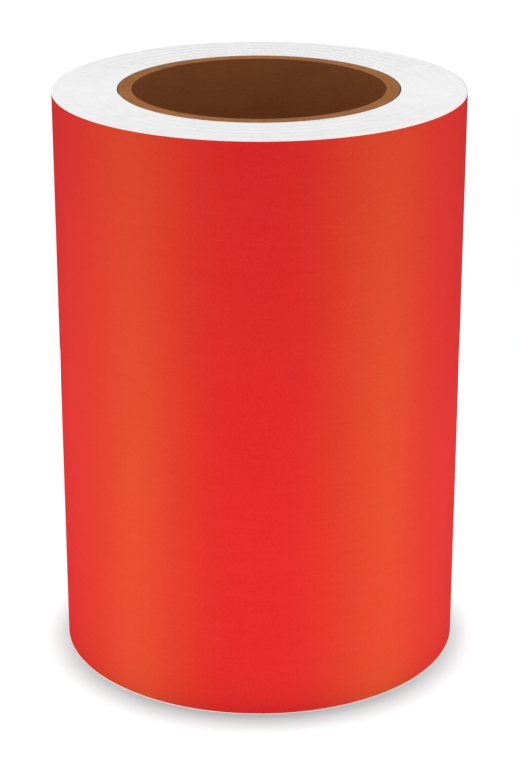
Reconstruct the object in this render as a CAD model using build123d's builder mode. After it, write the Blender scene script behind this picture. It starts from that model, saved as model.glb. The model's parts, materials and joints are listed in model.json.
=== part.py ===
from build123d import *
import math
import os

# Roll of red sign vinyl on a paperboard core, standing on its end.
# Frame: origin at the centre of the bottom end, +Z up along the core's axis.
# The web runs anticlockwise outwards, seen from above, and its tail lies on the +Y side.
# All sizes in millimetres.

# ---- driving dimensions -------------------------------------------------------------
roll_width = 177.8          # width of the web, which is the height of the standing roll (7 in)
core_bore_r = 38.1          # standard 3 in core
ply_count = 8               # paperboard plies wound into the core tube
ply_thickness = 0.5

film_thickness = 0.0635     # 2.5 mil face film
adhesive_thickness = 0.0254 # 1 mil adhesive coat
liner_thickness = 0.127     # 5 mil release liner
film_margin = 0.3           # the liner stands past the film by this much at each end

winding_r = 61.65           # outer radius of the closely wound turns at the start of the last turn
last_pitch = 0.30           # rise of the loosely wound last turn
wrap_start = 20.0           # angle where the last turn leaves the closely wound ones, degrees from +X

start_tape_thickness = 0.1  # double-sided tape under the web's lead end
start_tape_width = 25.0
start_tape_length = 170.0
start_tape_angle = 205.0

tail_from = 48.0            # angle of the tail's first fold line
tail_step = 10.0            # angle of each short tail strip
tail_count = 6              # tail strips; the last is the long end strip
tail_end = 128.0            # angle of the tail's cut edge
peel_from = 107.0           # angle of the first line where the film can leave its liner
peel_step = 7.0
peel_count = 3
strip_gap = 0.02            # gap along each fold line
short_span = 1.5            # longest arc in a strip's outline, degrees

closure_thickness = 0.055   # tape across the tail's cut edge
closure_height = 19.0
closure_from = 121.6
closure_to = 139.0
closure_z = 88.9            # height of its centre

# ---- derived ------------------------------------------------------------------------
core_r = core_bore_r + ply_count * ply_thickness
web_thickness = liner_thickness + adhesive_thickness + film_thickness
shift = last_pitch / 2      # half-turn centre shift that makes a spiral of circular arcs
shift_dir = (math.cos(math.radians(wrap_start)), math.sin(math.radians(wrap_start)))
shifted_centre = (shift * shift_dir[0], shift * shift_dir[1])
tail_r = winding_r + last_pitch         # inner radius of the web where it lies on its own last turn
tail_film_r = tail_r + web_thickness    # outer surface of the tail's film
liner_z = (0.0, roll_width)
film_z = (film_margin, roll_width - film_margin)
turns = (winding_r - core_r) / web_thickness + 1.3

os.makedirs("parts", exist_ok=True)


def polar(radius, angle):
    """A point at that radius and angle about the core's axis."""
    return (radius * math.cos(math.radians(angle)), radius * math.sin(math.radians(angle)))


def write(name, part):
    part.label = name
    export_step(part, f"parts/{name}.step")
    print(f"{name:22s} volume {part.volume:10.1f} mm3")


def sector(inner_r, outer_r, from_angle, to_angle, z_range):
    """A curved strip about the core's axis, its arcs in short spans that line up from layer to layer.

    The outline is made outside the blocks, because a block would join the arcs of one circle.
    """
    spans = math.ceil((to_angle - from_angle) / short_span)
    span = (to_angle - from_angle) / spans
    outline = [CenterArc((0, 0), r, from_angle + i * span, span) for r in (inner_r, outer_r) for i in range(spans)]
    outline += [Line(polar(inner_r, a), polar(outer_r, a)) for a in (from_angle, to_angle)]
    profile = Plane.XY.offset(z_range[0]) * make_face(outline)
    with BuildPart() as strip:
        extrude(profile, amount=z_range[1] - z_range[0], dir=(0, 0, 1), clean=False)
    return strip.part


def last_turn(inner_offset, thickness, z_range):
    """One layer of the last turn: a spiral of three arcs, from wrap_start round to the tail's first fold line."""
    inner = winding_r + inner_offset
    outer = inner + thickness
    overlap = tail_from - wrap_start
    end_angle = tail_from - math.degrees(strip_gap / tail_film_r)
    start = polar(inner, wrap_start), polar(outer, wrap_start)
    end = polar(inner + last_pitch, end_angle), polar(outer + last_pitch, end_angle)
    with BuildPart() as layer:
        with BuildSketch(Plane.XY.offset(z_range[0])):
            with BuildLine():
                for r in (inner, outer):
                    CenterArc((0, 0), r, wrap_start, 180)
                    CenterArc(shifted_centre, r + shift, wrap_start + 180, 180)
                    CenterArc((0, 0), r + last_pitch, wrap_start, end_angle - wrap_start)
                Line(*start)
                Line(*end)
            make_face()
        extrude(amount=z_range[1] - z_range[0])
    return layer.part


# ---- core: eight spirally wound plies of paperboard, glued face to face ----------------
for i in range(ply_count):
    r = core_bore_r + i * ply_thickness
    with BuildPart() as ply:
        with BuildSketch():
            Circle(r + ply_thickness)
            Circle(r, mode=Mode.SUBTRACT)
        extrude(amount=roll_width)
    suffix = {0: "_inner", ply_count - 1: "_outer"}.get(i, "")
    write(f"core_ply_{i + 1}{suffix}", ply.part)

# ---- starter tape: holds the web's lead end to the core --------------------------------
half_tape = math.degrees(start_tape_width / 2 / core_r)
start_tape_z = ((roll_width - start_tape_length) / 2, (roll_width + start_tape_length) / 2)
start_tape = sector(
    core_r,
    core_r + start_tape_thickness,
    start_tape_angle - half_tape,
    start_tape_angle + half_tape,
    start_tape_z,
)
write("core_start_tape", start_tape)

# ---- closely wound turns: outline is one turn of the spiral, with the step of its last turn
with BuildPart() as windings:
    with BuildSketch():
        with BuildLine():
            CenterArc((0, 0), winding_r, wrap_start, 180)
            CenterArc(shifted_centre, winding_r + shift, wrap_start + 180, 180)
            Line(polar(winding_r, wrap_start), polar(winding_r + last_pitch, wrap_start))
        make_face()
        Circle(core_r, mode=Mode.SUBTRACT)
    extrude(amount=roll_width)
    add(start_tape, mode=Mode.SUBTRACT)
write("inner_windings", windings.part)

# ---- last turn of the web, layer by layer ---------------------------------------------
write("outer_wrap_liner", last_turn(0, liner_thickness, liner_z))
write("outer_wrap_adhesive", last_turn(liner_thickness, adhesive_thickness, film_z))
write("outer_wrap_film", last_turn(liner_thickness + adhesive_thickness, film_thickness, film_z))

# ---- tail flap: strips of the same web, each folding about its line on the film's face --
gap_angle = math.degrees(strip_gap / tail_film_r)
liner_r = (tail_r, tail_r + liner_thickness)
adhesive_r = (liner_r[1], liner_r[1] + adhesive_thickness)
film_r = (adhesive_r[1], adhesive_r[1] + film_thickness)

for i in range(tail_count):
    a0 = tail_from + i * tail_step
    last = i == tail_count - 1
    liner_to = tail_end if last else a0 + tail_step - gap_angle
    film_to = (peel_from if last else a0 + tail_step) - gap_angle
    write(f"tail_{i + 1}_liner", sector(*liner_r, a0, liner_to, liner_z))
    write(f"tail_{i + 1}_adhesive", sector(*adhesive_r, a0, film_to, film_z))
    write(f"tail_{i + 1}_film", sector(*film_r, a0, film_to, film_z))

# ---- end of the film, which can be peeled from the liner's end strip --------------------
for i in range(peel_count):
    a0 = peel_from + i * peel_step
    a1 = a0 + peel_step - (gap_angle if i < peel_count - 1 else 0)
    write(f"peel_{i + 1}_adhesive", sector(*adhesive_r, a0, a1, film_z))
    write(f"peel_{i + 1}_film", sector(*film_r, a0, a1, film_z))

# ---- closure tape: on the film's end, down over the cut edge, and on the turn below -----
on_film = tail_film_r
on_roll = winding_r + web_thickness + 0.03
step_from, step_to = tail_end + 0.06, tail_end + 1.1
with BuildPart() as closure:
    with BuildSketch(Plane.XY.offset(closure_z - closure_height / 2)):
        with BuildLine():
            CenterArc((0, 0), on_film, closure_from, step_from - closure_from)
            Line(polar(on_film, step_from), polar(on_roll, step_to))
            CenterArc((0, 0), on_roll, step_to, closure_to - step_to)
            Line(polar(on_roll, closure_to), polar(on_roll + closure_thickness, closure_to))
            CenterArc((0, 0), on_roll + closure_thickness, step_to, closure_to - step_to)
            Line(
                polar(on_roll + closure_thickness, step_to),
                polar(on_film + closure_thickness, step_from),
            )
            CenterArc((0, 0), on_film + closure_thickness, closure_from, step_from - closure_from)
            Line(polar(on_film, closure_from), polar(on_film + closure_thickness, closure_from))
        make_face()
    extrude(amount=closure_height)
write("closure_tape", closure.part)

print("turns", round(turns, 1), "web length m", round(
    (math.pi * (winding_r**2 - core_r**2) / web_thickness + 2 * math.pi * 62.2 * 1.28) / 1000, 2))
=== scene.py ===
"""Roll of red sign vinyl: the looks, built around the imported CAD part. Metres, row frame, +Z up."""

import json
import math

import bmesh
import bpy
import numpy as np
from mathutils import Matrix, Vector

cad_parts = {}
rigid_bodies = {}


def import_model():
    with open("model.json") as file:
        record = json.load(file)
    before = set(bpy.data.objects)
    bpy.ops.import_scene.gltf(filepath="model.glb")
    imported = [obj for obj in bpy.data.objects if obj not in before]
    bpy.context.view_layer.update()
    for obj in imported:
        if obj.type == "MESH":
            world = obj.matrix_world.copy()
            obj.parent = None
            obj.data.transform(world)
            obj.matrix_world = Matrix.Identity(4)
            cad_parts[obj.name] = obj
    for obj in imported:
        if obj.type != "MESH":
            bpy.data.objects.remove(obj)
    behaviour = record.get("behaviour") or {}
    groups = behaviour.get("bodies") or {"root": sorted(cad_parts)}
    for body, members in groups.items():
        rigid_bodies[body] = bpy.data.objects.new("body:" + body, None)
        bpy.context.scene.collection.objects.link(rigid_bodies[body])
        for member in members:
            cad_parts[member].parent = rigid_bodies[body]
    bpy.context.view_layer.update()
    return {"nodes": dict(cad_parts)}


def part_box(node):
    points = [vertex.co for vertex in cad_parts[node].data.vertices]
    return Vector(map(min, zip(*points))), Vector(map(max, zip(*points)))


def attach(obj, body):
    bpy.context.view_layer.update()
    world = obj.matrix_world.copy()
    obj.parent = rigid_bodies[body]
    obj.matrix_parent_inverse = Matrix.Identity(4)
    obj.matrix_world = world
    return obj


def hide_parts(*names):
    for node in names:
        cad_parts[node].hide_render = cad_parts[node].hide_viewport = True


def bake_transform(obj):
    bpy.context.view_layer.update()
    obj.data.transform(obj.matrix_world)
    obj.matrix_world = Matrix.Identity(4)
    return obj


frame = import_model()

MM = 0.001

# ---------------------------------------------------------------- sizes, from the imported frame
bore_lo, bore_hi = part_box("core_ply_1_inner")
film_lo, film_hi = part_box("outer_wrap_film")
tape_lo, tape_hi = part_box("closure_tape")
HEIGHT = bore_hi.z
PLY = 0.5 * MM
BORE_R = bore_hi.x - PLY
FILM_T, ADHESIVE_T, LINER_T = 0.0635 * MM, 0.0254 * MM, 0.127 * MM
WEB_T = FILM_T + ADHESIVE_T + LINER_T
LAST_PITCH = 0.30 * MM
START = 20.0  # angle where the last turn begins, degrees
WINDING_R = 61.65 * MM  # inner radius of the last turn where it begins
MARGIN = film_lo.z  # liner past the film at each end
Z_FILM = (MARGIN, HEIGHT - MARGIN)
Z_LINER = (0.0, HEIGHT)
TAIL_R = WINDING_R + LAST_PITCH
FOLDS = [48.0 + 10.0 * i for i in range(6)]
PEELS = [107.0, 114.0, 121.0]
TAIL_END = 128.0


def turn_radius(theta):
    """Inner radius of the web at an unwrapped angle in degrees: half of each turn is round, and the other half rises by the pitch."""
    k = np.floor((theta - START) / 360.0 + 1e-9)
    psi = theta - START - 360.0 * k
    pitch = np.where(k < 0, WEB_T, LAST_PITCH)
    rise = np.where(psi <= 180.0, 0.0, (1 + np.cos(np.radians(psi))) / 2)
    return WINDING_R + (k + rise) * pitch


# ---------------------------------------------------------------- mesh helpers
def new_object(name, verts, faces, material, smooth_angle=35.0, tags=None, materials=None):
    mesh = bpy.data.meshes.new(name)
    mesh.from_pydata([tuple(v) for v in verts], [], faces)
    mesh.validate()
    for m in materials or [material]:
        mesh.materials.append(m)
    mesh.polygons.foreach_set("use_smooth", np.ones(len(mesh.polygons), bool))
    mesh.update()
    bm = bmesh.new()
    bm.from_mesh(mesh)
    bmesh.ops.recalc_face_normals(bm, faces=bm.faces)
    bm.to_mesh(mesh)
    bm.free()
    mesh.set_sharp_from_angle(angle=math.radians(smooth_angle))
    ob = bpy.data.objects.new(name, mesh)
    bpy.context.scene.collection.objects.link(ob)
    return ob


def sweep(name, thetas, radius, profile, material, z_wave=None):
    """A closed strip: profile points (offset from radius, height) carried along the angles."""
    thetas = np.asarray(thetas, float)
    base = radius(thetas) if callable(radius) else np.full(len(thetas), radius)
    n, m = len(thetas), len(profile)
    c, s = np.cos(np.radians(thetas)), np.sin(np.radians(thetas))
    verts = np.zeros((n, m, 3))
    for j, (dr, z) in enumerate(profile):
        r = base + dr
        verts[:, j, 0], verts[:, j, 1], verts[:, j, 2] = r * c, r * s, z
    if z_wave is not None:
        low, high = z_wave(thetas)
        zs = np.array([z for _, z in profile])
        share = zs / HEIGHT
        verts[:, :, 2] += low[:, None] * (1 - share) + high[:, None] * share
    verts = verts.reshape(-1, 3)
    i, j = np.meshgrid(np.arange(n - 1), np.arange(m), indexing="ij")
    j2 = (j + 1) % m
    quads = np.stack([i * m + j, i * m + j2, (i + 1) * m + j2, (i + 1) * m + j], -1).reshape(-1, 4)
    faces = [tuple(int(x) for x in q) for q in quads]
    faces.append(tuple(range(m - 1, -1, -1)))
    faces.append(tuple((n - 1) * m + k for k in range(m)))
    return new_object(name, verts, faces, material)


def steps(a, b, size):
    n = max(1, int(round((b - a) / size)))
    return np.linspace(a, b, n + 1)


# ---------------------------------------------------------------- material helpers
class Nodes:
    def __init__(self, name):
        self.mat = bpy.data.materials.new(name)
        self.mat.use_nodes = True
        self.nt = self.mat.node_tree
        self.nt.nodes.clear()
        self.out = self.nt.nodes.new("ShaderNodeOutputMaterial")
        self.bsdf = self.nt.nodes.new("ShaderNodeBsdfPrincipled")
        self.nt.links.new(self.bsdf.outputs[0], self.out.inputs[0])
        self.coords = self.nt.nodes.new("ShaderNodeTexCoord")

    def set(self, **values):
        for k, v in values.items():
            self.bsdf.inputs[k.replace("_", " ")].default_value = v
        return self

    def link(self, a, b):
        self.nt.links.new(a, b)

    def node(self, kind, **settings):
        n = self.nt.nodes.new(kind)
        for k, v in settings.items():
            setattr(n, k, v)
        return n

    def mapped(self, scale=(1, 1, 1), rotation=(0, 0, 0), source=None):
        m = self.node("ShaderNodeMapping")
        m.inputs["Scale"].default_value = scale
        m.inputs["Rotation"].default_value = rotation
        self.link(source or self.coords.outputs["Object"], m.inputs["Vector"])
        return m.outputs[0]

    def noise(self, scale, detail=3.0, roughness=0.5, vector=None, distortion=0.0):
        n = self.node("ShaderNodeTexNoise")
        n.inputs["Scale"].default_value = scale
        n.inputs["Detail"].default_value = detail
        n.inputs["Roughness"].default_value = roughness
        n.inputs["Distortion"].default_value = distortion
        self.link(vector or self.coords.outputs["Object"], n.inputs["Vector"])
        return n.outputs["Fac"]

    def math(self, op, a, b=None, clamp=False):
        n = self.node("ShaderNodeMath", operation=op, use_clamp=clamp)
        for k, v in enumerate((a, b)):
            if v is None:
                continue
            if isinstance(v, (int, float)):
                n.inputs[k].default_value = v
            else:
                self.link(v, n.inputs[k])
        return n.outputs[0]

    def fit(self, value, lo, hi, out_lo=0.0, out_hi=1.0):
        n = self.node("ShaderNodeMapRange")
        for k, v in zip(("From Min", "From Max", "To Min", "To Max"), (lo, hi, out_lo, out_hi)):
            n.inputs[k].default_value = v
        self.link(value, n.inputs["Value"])
        return n.outputs[0]

    def ramp(self, value, stops):
        n = self.node("ShaderNodeValToRGB")
        e = n.color_ramp.elements
        while len(e) < len(stops):
            e.new(0.5)
        for el, (p, c) in zip(e, stops):
            el.position, el.color = p, (*c, 1)
        self.link(value, n.inputs[0])
        return n.outputs[0]

    def mix(self, fac, a, b, blend="MIX"):
        n = self.node("ShaderNodeMix", data_type="RGBA", blend_type=blend)
        for k, v in ((0, fac), (6, a), (7, b)):
            if isinstance(v, (int, float)):
                n.inputs[k].default_value = v
            elif isinstance(v, tuple):
                n.inputs[k].default_value = (*v, 1)
            else:
                self.link(v, n.inputs[k])
        return n.outputs[2]

    def bump(self, height, distance, strength=1.0, normal=None):
        n = self.node("ShaderNodeBump")
        n.inputs["Distance"].default_value = distance
        n.inputs["Strength"].default_value = strength
        self.link(height, n.inputs["Height"])
        if normal is not None:
            self.link(normal, n.inputs["Normal"])
        return n.outputs[0]


def film_material():
    """Red calendered vinyl: saturated, satin, with the faint orange peel and haze of a rolled film."""
    m = Nodes("red_vinyl_film")
    m.set(Specular_IOR_Level=0.04, Roughness=0.56)
    cloud = m.noise(14, 3, 0.55)
    grain = m.noise(1900, 2, 0.6)
    streak = m.noise(1.0, 4, 0.6, vector=m.mapped((60, 60, 900)))
    tone = m.math("ADD", m.math("MULTIPLY", cloud, 0.25), m.math("MULTIPLY", grain, 0.55))
    tone = m.math("ADD", tone, m.math("MULTIPLY", streak, 0.20))
    colour = m.ramp(tone, [(0.36, (0.638, 0.0140, 0.0142)), (0.50, (0.673, 0.0191, 0.0194)), (0.64, (0.708, 0.0242, 0.0246))])
    m.link(colour, m.bsdf.inputs["Base Color"])
    rough = m.fit(m.math("ADD", m.math("MULTIPLY", cloud, 0.6), m.math("MULTIPLY", grain, 0.4)), 0.3, 0.7, 0.50, 0.62)
    m.link(rough, m.bsdf.inputs["Roughness"])
    peel = m.bump(m.noise(620, 2, 0.5), 0.00002, 0.35)
    fine = m.bump(m.noise(3800, 2, 0.5), 0.000006, 0.5, normal=peel)
    m.link(fine, m.bsdf.inputs["Normal"])
    return m.mat


def liner_material(name="release_liner", tint=(0.83, 0.83, 0.825)):
    """White release paper: faint fibre formation, a light sheen from the silicone."""
    m = Nodes(name)
    m.set(Specular_IOR_Level=0.06, Roughness=0.62)
    fibre = m.noise(1.0, 5, 0.65, vector=m.mapped((900, 900, 2200)), distortion=0.4)
    cloud = m.noise(240, 4, 0.6)
    speck = m.noise(5200, 2, 0.7)
    tone = m.math("ADD", m.math("MULTIPLY", fibre, 0.35), m.math("MULTIPLY", cloud, 0.25))
    tone = m.math("ADD", tone, m.math("MULTIPLY", speck, 0.40))
    lo, hi = tuple(0.93 * x for x in tint), tuple(min(1.0, 1.05 * x) for x in tint)
    m.link(m.ramp(tone, [(0.34, lo), (0.5, tint), (0.66, hi)]), m.bsdf.inputs["Base Color"])
    m.link(m.fit(cloud, 0.3, 0.7, 0.48, 0.64), m.bsdf.inputs["Roughness"])
    m.link(m.bump(tone, 0.00003, 0.5), m.bsdf.inputs["Normal"])
    return m.mat


def adhesive_material():
    """Pressure-sensitive adhesive on the film's back: hazy, tacky, with the liner's texture printed in it."""
    m = Nodes("adhesive_coat")
    m.set(Specular_IOR_Level=0.5, Roughness=0.3)
    cloud = m.noise(90, 4, 0.6)
    fine = m.noise(1800, 3, 0.6)
    tone = m.math("ADD", m.math("MULTIPLY", cloud, 0.6), m.math("MULTIPLY", fine, 0.4))
    m.link(m.ramp(tone, [(0.35, (0.50, 0.44, 0.43)), (0.52, (0.58, 0.53, 0.52)), (0.68, (0.66, 0.62, 0.61))]), m.bsdf.inputs["Base Color"])
    m.link(m.fit(fine, 0.3, 0.7, 0.22, 0.42), m.bsdf.inputs["Roughness"])
    m.link(m.bump(fine, 0.00003, 0.6), m.bsdf.inputs["Normal"])
    return m.mat


def board_material(name, base, dark, contrast=1.0):
    """Brown recycled paperboard: long fibres along the winding angle, flecks, and a dusty matt face."""
    m = Nodes(name)
    m.set(Specular_IOR_Level=0.0, Roughness=0.92)
    turn = math.radians(24)
    fibre = m.noise(1.0, 6, 0.7, vector=m.mapped((420, 420, 2600), (turn, 0, 0)), distortion=0.8)
    cloud = m.noise(70, 4, 0.6)
    fleck = m.noise(3600, 2, 0.5)
    tone = m.math("ADD", m.math("MULTIPLY", fibre, 0.5), m.math("MULTIPLY", cloud, 0.3))
    tone = m.math("ADD", tone, m.math("MULTIPLY", fleck, 0.2))
    lighter = tuple(min(1.0, x * (1 + 0.30 * contrast)) for x in base)
    colour = m.ramp(tone, [(0.34, dark), (0.5, base), (0.68, lighter)])
    spots = m.fit(fleck, 0.66, 0.74)
    colour = m.mix(m.math("MULTIPLY", spots, 0.5), colour, tuple(0.45 * x for x in base))
    m.link(colour, m.bsdf.inputs["Base Color"])
    m.link(m.fit(cloud, 0.3, 0.7, 0.85, 0.98), m.bsdf.inputs["Roughness"])
    rough = m.bump(fibre, 0.00010, 0.6)
    m.link(m.bump(fleck, 0.00004, 0.5, normal=rough), m.bsdf.inputs["Normal"])
    return m.mat


def tape_material(name, base, ridge):
    """Creped paper tape."""
    m = Nodes(name)
    m.set(Specular_IOR_Level=0.10, Roughness=0.7)
    crepe = m.noise(1.0, 4, 0.6, vector=m.mapped((2600, 2600, 500)), distortion=0.6)
    cloud = m.noise(160, 3, 0.6)
    tone = m.math("ADD", m.math("MULTIPLY", crepe, 0.6), m.math("MULTIPLY", cloud, 0.4))
    m.link(m.ramp(tone, [(0.34, tuple(0.86 * x for x in base)), (0.5, base), (0.68, tuple(min(1, 1.08 * x) for x in base))]), m.bsdf.inputs["Base Color"])
    m.link(m.fit(cloud, 0.3, 0.7, 0.62, 0.8), m.bsdf.inputs["Roughness"])
    m.link(m.bump(crepe, ridge, 0.8), m.bsdf.inputs["Normal"])
    return m.mat


RED = film_material()
LINER = liner_material()
EDGE = liner_material("liner_cut_edges", (0.728, 0.728, 0.728))
GLUE = adhesive_material()
# the inner ply is the same board as the other plies, painted about one and a half times lighter: painted light for the
# dim bore
BORE_BOARD_PAINTED_LIGHT = board_material("core_inner_board_painted_light", (0.470, 0.178, 0.066), (0.370, 0.136, 0.050), 0.6)
BOARDS = [
    board_material("core_board_a", (0.290, 0.120, 0.043), (0.215, 0.086, 0.030)),
    board_material("core_board_b", (0.262, 0.108, 0.040), (0.195, 0.078, 0.028)),
]
COVER = board_material("core_outer_cover", (0.200, 0.096, 0.045), (0.150, 0.068, 0.031))
TAPE = tape_material("closing_tape", (0.60, 0.47, 0.28), 0.00005)
STARTER = tape_material("starter_tape", (0.70, 0.68, 0.60), 0.00002)

# ---------------------------------------------------------------- core: helically wound plies
HELIX_PITCH = 108 * MM
GAP = 0.35 * MM


def helical_ply(name, index, material, cut_material):
    """A paper strip wound in a helix into a tube, its edges a hair apart, cut square at both ends."""
    inner = BORE_R + index * PLY + (0.0 if index == 0 else 0.012 * MM)
    outer = BORE_R + (index + 1) * PLY - 0.012 * MM
    first = 360.0 * ((index * 0.37) % 1.0)
    cut = 0.07 * MM  # softened rim at the cut ends
    step = 2.0
    rise = HELIX_PITCH / 360.0
    # unwrapped angle 0 puts the strip's lower edge at z = 0
    lo_edge = lambda t: rise * t + GAP / 2
    hi_edge = lambda t: rise * t + HELIX_PITCH - GAP / 2
    t0 = -(HELIX_PITCH - GAP / 2) / rise
    t1 = (HEIGHT - GAP / 2) / rise
    ts = np.unique(np.concatenate([np.arange(t0, t1, step), [t1, -GAP / 2 / rise, (HEIGHT - HELIX_PITCH + GAP / 2) / rise]]))
    verts, rows = [], []
    for t in ts:
        lo, hi = max(0.0, lo_edge(t)), min(HEIGHT, hi_edge(t))
        a = math.radians(t + first)
        c, s = math.cos(a), math.sin(a)
        zs = [lo, lo + min(cut, (hi - lo) / 2), hi - min(cut, (hi - lo) / 2), hi]
        soft_lo = cut * 0.8 if lo_edge(t) <= 0 else cut * 0.25
        soft_hi = cut * 0.8 if hi_edge(t) >= HEIGHT else cut * 0.25
        ring = []
        for r, z in (
            (inner + soft_lo, zs[0]), (outer - soft_lo, zs[0]), (outer, zs[1]), (outer, zs[2]),
            (outer - soft_hi, zs[3]), (inner + soft_hi, zs[3]), (inner, zs[2]), (inner, zs[1]),
        ):
            ring.append(len(verts))
            verts.append((r * c, r * s, z))
        rows.append(ring)
    faces = []
    for a, b in zip(rows, rows[1:]):
        for j in range(8):
            k = (j + 1) % 8
            faces.append((a[j], a[k], b[k], b[j]))
    faces.append(tuple(reversed(rows[0])))
    faces.append(tuple(rows[-1]))
    mesh = bpy.data.meshes.new(name)
    mesh.from_pydata(verts, [], faces)
    bm = bmesh.new()
    bm.from_mesh(mesh)
    bmesh.ops.remove_doubles(bm, verts=bm.verts, dist=1e-7)
    bmesh.ops.dissolve_degenerate(bm, edges=bm.edges, dist=1e-7)
    bmesh.ops.recalc_face_normals(bm, faces=bm.faces)
    bm.to_mesh(mesh)
    bm.free()
    mesh.materials.append(material)
    mesh.materials.append(cut_material)
    for face in mesh.polygons:
        if face.center.z < cut or face.center.z > HEIGHT - cut:
            face.material_index = 1
    mesh.polygons.foreach_set("use_smooth", np.ones(len(mesh.polygons), bool))
    mesh.update()
    mesh.set_sharp_from_angle(angle=math.radians(10))
    ob = bpy.data.objects.new(name, mesh)
    bpy.context.scene.collection.objects.link(ob)
    return ob


for i in range(8):
    node = "core_ply_1_inner" if i == 0 else "core_ply_8_outer" if i == 7 else f"core_ply_{i + 1}"
    # the inner ply gets the lighter-painted board, painted light inside the bore
    material = BORE_BOARD_PAINTED_LIGHT if i == 0 else COVER if i == 7 else BOARDS[i % 2]
    ply = helical_ply(f"core_strip_{i + 1}", i, material, BOARDS[i % 2])
    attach(ply, "roll")
    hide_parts(node)

for slot in frame["nodes"]["core_start_tape"].material_slots:
    slot.material = STARTER

# ---------------------------------------------------------------- wound web: one continuous liner and one film, as real strips
SWELL = 0.2115 * MM  # slit paper edges swell a little and close over the film between them
TURNS = 90


def end_wave(thetas):
    """Small unevenness of the wound edges, always inside the roll's height."""
    t = np.radians(thetas)
    turn = thetas / 360.0
    low = 0.016 + 0.009 * np.sin(0.61 * t + 0.7) + 0.007 * np.sin(2.0 * np.pi * turn * 0.173 + 1.1)
    high = 0.018 + 0.010 * np.sin(0.47 * t + 2.1) + 0.008 * np.sin(2.0 * np.pi * turn * 0.211 + 0.3)
    return low * MM, -high * MM


def liner_profile(swell=SWELL):
    near, far = 0.3 * MARGIN, 0.95 * MARGIN  # the flare ends before the film begins
    return [
        (0.0, 0.0), (swell, 0.0), (swell, near), (LINER_T, far),
        (LINER_T, HEIGHT - far), (swell, HEIGHT - near), (swell, HEIGHT), (0.0, HEIGHT),
    ]


def box_profile(r0, r1, z):
    return [(r0, z[0]), (r1, z[0]), (r1, z[1]), (r0, z[1])]


wound = steps(START - 360.0 * TURNS + 172.0, START, 3.0)
wound_liner = sweep("wound_liner", wound, turn_radius, liner_profile(), EDGE, end_wave)
wound_film = sweep("wound_film", wound, turn_radius, box_profile(LINER_T, WEB_T, Z_FILM), RED)
for ob, name in ((wound_liner, "release_liner"), (wound_film, "vinyl_film")):
    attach(ob, "roll")
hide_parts("inner_windings")

LAYERS = {
    "liner": (0.0, LINER_T, Z_LINER, LINER, "release_liner"),
    "adhesive": (LINER_T, LINER_T + ADHESIVE_T, Z_FILM, GLUE, "adhesive"),
    "film": (LINER_T + ADHESIVE_T, WEB_T, Z_FILM, RED, "vinyl_film"),
}
last = steps(START, FOLDS[0] - 5.0 + 360.0, 1.0)
for layer, (r0, r1, z, material, slot) in LAYERS.items():
    profile = liner_profile(0.185 * MM) if layer == "liner" else box_profile(r0, r1, z)
    ob = sweep(f"outer_{layer}", last, turn_radius, profile, material, None)
    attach(ob, "roll")
    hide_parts(f"outer_wrap_{layer}")

# ---------------------------------------------------------------- tail flap: one sheet per layer over each fold's stretch of the tail
for i, fold in enumerate(FOLDS):
    a, b = ("roll" if i == 0 else f"tail_{i}"), f"tail_{i + 1}"
    final = i == len(FOLDS) - 1
    for layer, (r0, r1, z, material, slot) in LAYERS.items():
        to = TAIL_END if final and layer == "liner" else fold + 5.0
        ob = sweep(f"tail_sheet_{layer}_{i + 1}", steps(fold - 5.0, to, 0.25), TAIL_R, box_profile(r0, r1, z), material)
        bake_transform(ob)
        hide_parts(f"tail_{i + 1}_{layer}")

for i, fold in enumerate(PEELS):
    a, b = ("tail_6" if i == 0 else f"peel_{i}"), f"peel_{i + 1}"
    begin = FOLDS[-1] + 5.0 if i == 0 else fold - 3.5
    to = TAIL_END if i == len(PEELS) - 1 else fold + 3.5
    for layer in ("adhesive", "film"):
        r0, r1, z, material, slot = LAYERS[layer]
        ob = sweep(f"peel_sheet_{layer}_{i + 1}", steps(begin, to, 0.25), TAIL_R, box_profile(r0, r1, z), material)
        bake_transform(ob)
        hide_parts(f"peel_{i + 1}_{layer}")

# ---------------------------------------------------------------- closure tape, torn off a toothed dispenser
def closure_tape():
    film_r = TAIL_R + WEB_T + 0.004 * MM
    roll_r = WINDING_R + WEB_T + 0.03 * MM
    thick = 0.05 * MM
    z0, z1 = tape_lo.z, tape_hi.z
    rows = 76
    a_from, a_to = 121.7, 138.8
    edge = TAIL_END

    def radius(a):
        x = (a - edge - 0.05) / 1.1
        x = min(1.0, max(0.0, x))
        return film_r + (roll_r - film_r) * (x * x * (3 - 2 * x))

    verts, faces = [], []
    cols = 70
    for side in (0, 1):
        for k in range(rows + 1):
            z = z0 + (z1 - z0) * k / rows
            tooth = abs(((k / 4.0) % 1.0) - 0.5) * 2
            lo = a_from + 0.42 * tooth
            hi = a_to - 0.42 * (1 - tooth)
            for j in range(cols + 1):
                a = lo + (hi - lo) * j / cols
                r = radius(a) + thick * side
                verts.append((r * math.cos(math.radians(a)), r * math.sin(math.radians(a)), z))
    n = cols + 1
    half = (rows + 1) * n
    for k in range(rows):
        for j in range(cols):
            p = k * n + j
            faces.append((p, p + n, p + n + 1, p + 1))
            faces.append((half + p, half + p + 1, half + p + n + 1, half + p + n))
    loop = (
        [j for j in range(cols)]
        + [k * n + cols for k in range(rows)]
        + [rows * n + j for j in range(cols, 0, -1)]
        + [k * n for k in range(rows, 0, -1)]
    )
    for p, q in zip(loop, loop[1:] + loop[:1]):
        faces.append((p, q, half + q, half + p))
    return new_object("closure_tape_strip", verts, faces, TAPE)


tape = closure_tape()
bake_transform(tape)
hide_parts("closure_tape")

# ---------------------------------------------------------------- studio
scene = bpy.context.scene
for ob in scene.objects:
    if ob.type == "MESH" and "film" in ob.name and RED.name in ob.data.materials:
        ob.visible_diffuse = False  # its red stays out of the pale floor
scene.view_settings.view_transform = "Standard"
scene.view_settings.look = "None"

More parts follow.
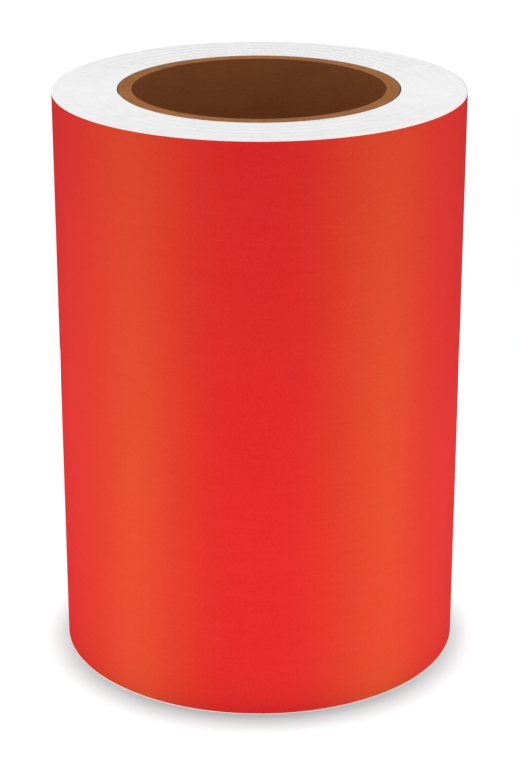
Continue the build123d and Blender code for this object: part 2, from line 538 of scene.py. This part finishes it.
# an even white dome, kept out of the gloss
world = bpy.data.worlds.new("studio")
scene.world = world
world.use_nodes = True
dome = world.node_tree.nodes["Background"]
dome.inputs["Color"].default_value = (1, 1, 1, 1)
dome.inputs["Strength"].default_value = 0.447
world.cycles_visibility.glossy = False

floor_mesh = bpy.data.meshes.new("floor")
floor_mesh.from_pydata([(-30, -30, 0), (30, -30, 0), (30, 30, 0), (-30, 30, 0)], [], [(0, 1, 2, 3)])
floor = bpy.data.objects.new("floor", floor_mesh)
scene.collection.objects.link(floor)
floor.location.z = -0.00002
fm = bpy.data.materials.new("pale_floor")
fm.use_nodes = True
fm.node_tree.nodes.clear()
fo = fm.node_tree.nodes.new("ShaderNodeOutputMaterial")
fd = fm.node_tree.nodes.new("ShaderNodeBsdfDiffuse")
fl = fm.node_tree.nodes.new("ShaderNodeLightPath")
fx = fm.node_tree.nodes.new("ShaderNodeMix")
fx.data_type = "RGBA"
fx.inputs[6].default_value = (0.9, 0.9, 0.9, 1)
FLOOR_SEEN = 0.79
fx.inputs[7].default_value = (FLOOR_SEEN, FLOOR_SEEN, FLOOR_SEEN, 1)
fm.node_tree.links.new(fl.outputs["Is Camera Ray"], fx.inputs[0])
fm.node_tree.links.new(fx.outputs[2], fd.inputs["Color"])
fm.node_tree.links.new(fd.outputs[0], fo.inputs[0])
floor_mesh.materials.append(fm)
floor.visible_glossy = False


def add_light(name, kind, energy, place, aim, colour=(1, 1, 1), gloss=True, diffuse=True, **settings):
    """A light at a place, turned to face a point, and never seen by the camera itself."""
    light = bpy.data.lights.new(name, kind)
    light.energy, light.color = energy, colour
    for k, v in settings.items():
        setattr(light, k, v)
    ob = bpy.data.objects.new(name, light)
    scene.collection.objects.link(ob)
    ob.location = place
    ob.rotation_euler = (Vector(aim) - ob.location).to_track_quat("-Z", "Y").to_euler()
    ob.visible_camera = False
    ob.visible_glossy, ob.visible_diffuse = gloss, diffuse
    return ob


# a broad overhead light, tipped a little from behind, for the even top and the short shadow at the foot
KEY_TILT = math.radians(1.7)
add_light("overhead", "SUN", 2.68, (0, 2 * math.sin(KEY_TILT), 2 * math.cos(KEY_TILT)), (0, 0, 0), gloss=False, angle=math.radians(5.6))

# low fill on four sides, so the red is a little stronger towards the floor
RING_R = 0.262
for k, watts in enumerate((0.2005, 0.1561, 0.2005, 0.1561)):
    a = math.radians(90.0 * k)
    place = (RING_R * math.cos(a), RING_R * math.sin(a), 0.015)
    add_light(
        f"low_fill_{k + 1}", "AREA", watts, place, (0, 0, 0.02), gloss=False,
        shape="RECTANGLE", size=0.2, size_y=0.024,
    )

# warm, narrow strip lamps low on both sides, seen only in gloss, for the two soft bands down the film's flanks;
# each is aimed at the flank it stands beside, short of the middle of the front, and the floor doesn't stop it
lets_through = bpy.data.collections.new("lets_strip_lamps_through")
lets_through.objects.link(floor)
lets_through.collection_objects[0].light_linking.link_state = "EXCLUDE"
STRIP_R, STRIP_H, STRIP_RISE = 0.32, 0.24, math.radians(20.0)
for degrees, near, far, watts in ((45.0, -0.012, 0.036, 0.036), (60.0, -0.012, 0.043, 0.045), (72.0, -0.005, 0.043, 0.086)):
    for side in (-1, 1):
        a = math.radians(degrees)
        out = Vector((side * math.sin(a), -math.cos(a), 0))
        across = Vector((side * out.y, -side * out.x, 0))
        aim = across * ((near + far) / 2) + Vector((0, 0, HEIGHT / 2))
        strip = add_light(
            f"side_strip_{int(degrees)}_{'left' if side < 0 else 'right'}", "AREA", watts,
            aim + out * STRIP_R - Vector((0, 0, STRIP_R * math.tan(STRIP_RISE))), aim, (0.45, 1.0, 0.05), diffuse=False,
            shape="RECTANGLE", size=far - near, size_y=STRIP_H, spread=math.radians(8.0),
        )
        strip.light_linking.blocker_collection = lets_through

# ---------------------------------------------------------------- camera
cam = bpy.data.objects.new("camera", bpy.data.cameras.new("camera"))
scene.collection.objects.link(cam)
cam.data.sensor_width = 36
cam.data.lens = 2275.5 / 777 * 36
cam.location = (0.00028, -0.66624, 0.33843)
cam.rotation_euler = (math.radians(90 - 21.10), 0, 0)
cam.data.clip_start, cam.data.clip_end = 0.01, 100
scene.camera = cam
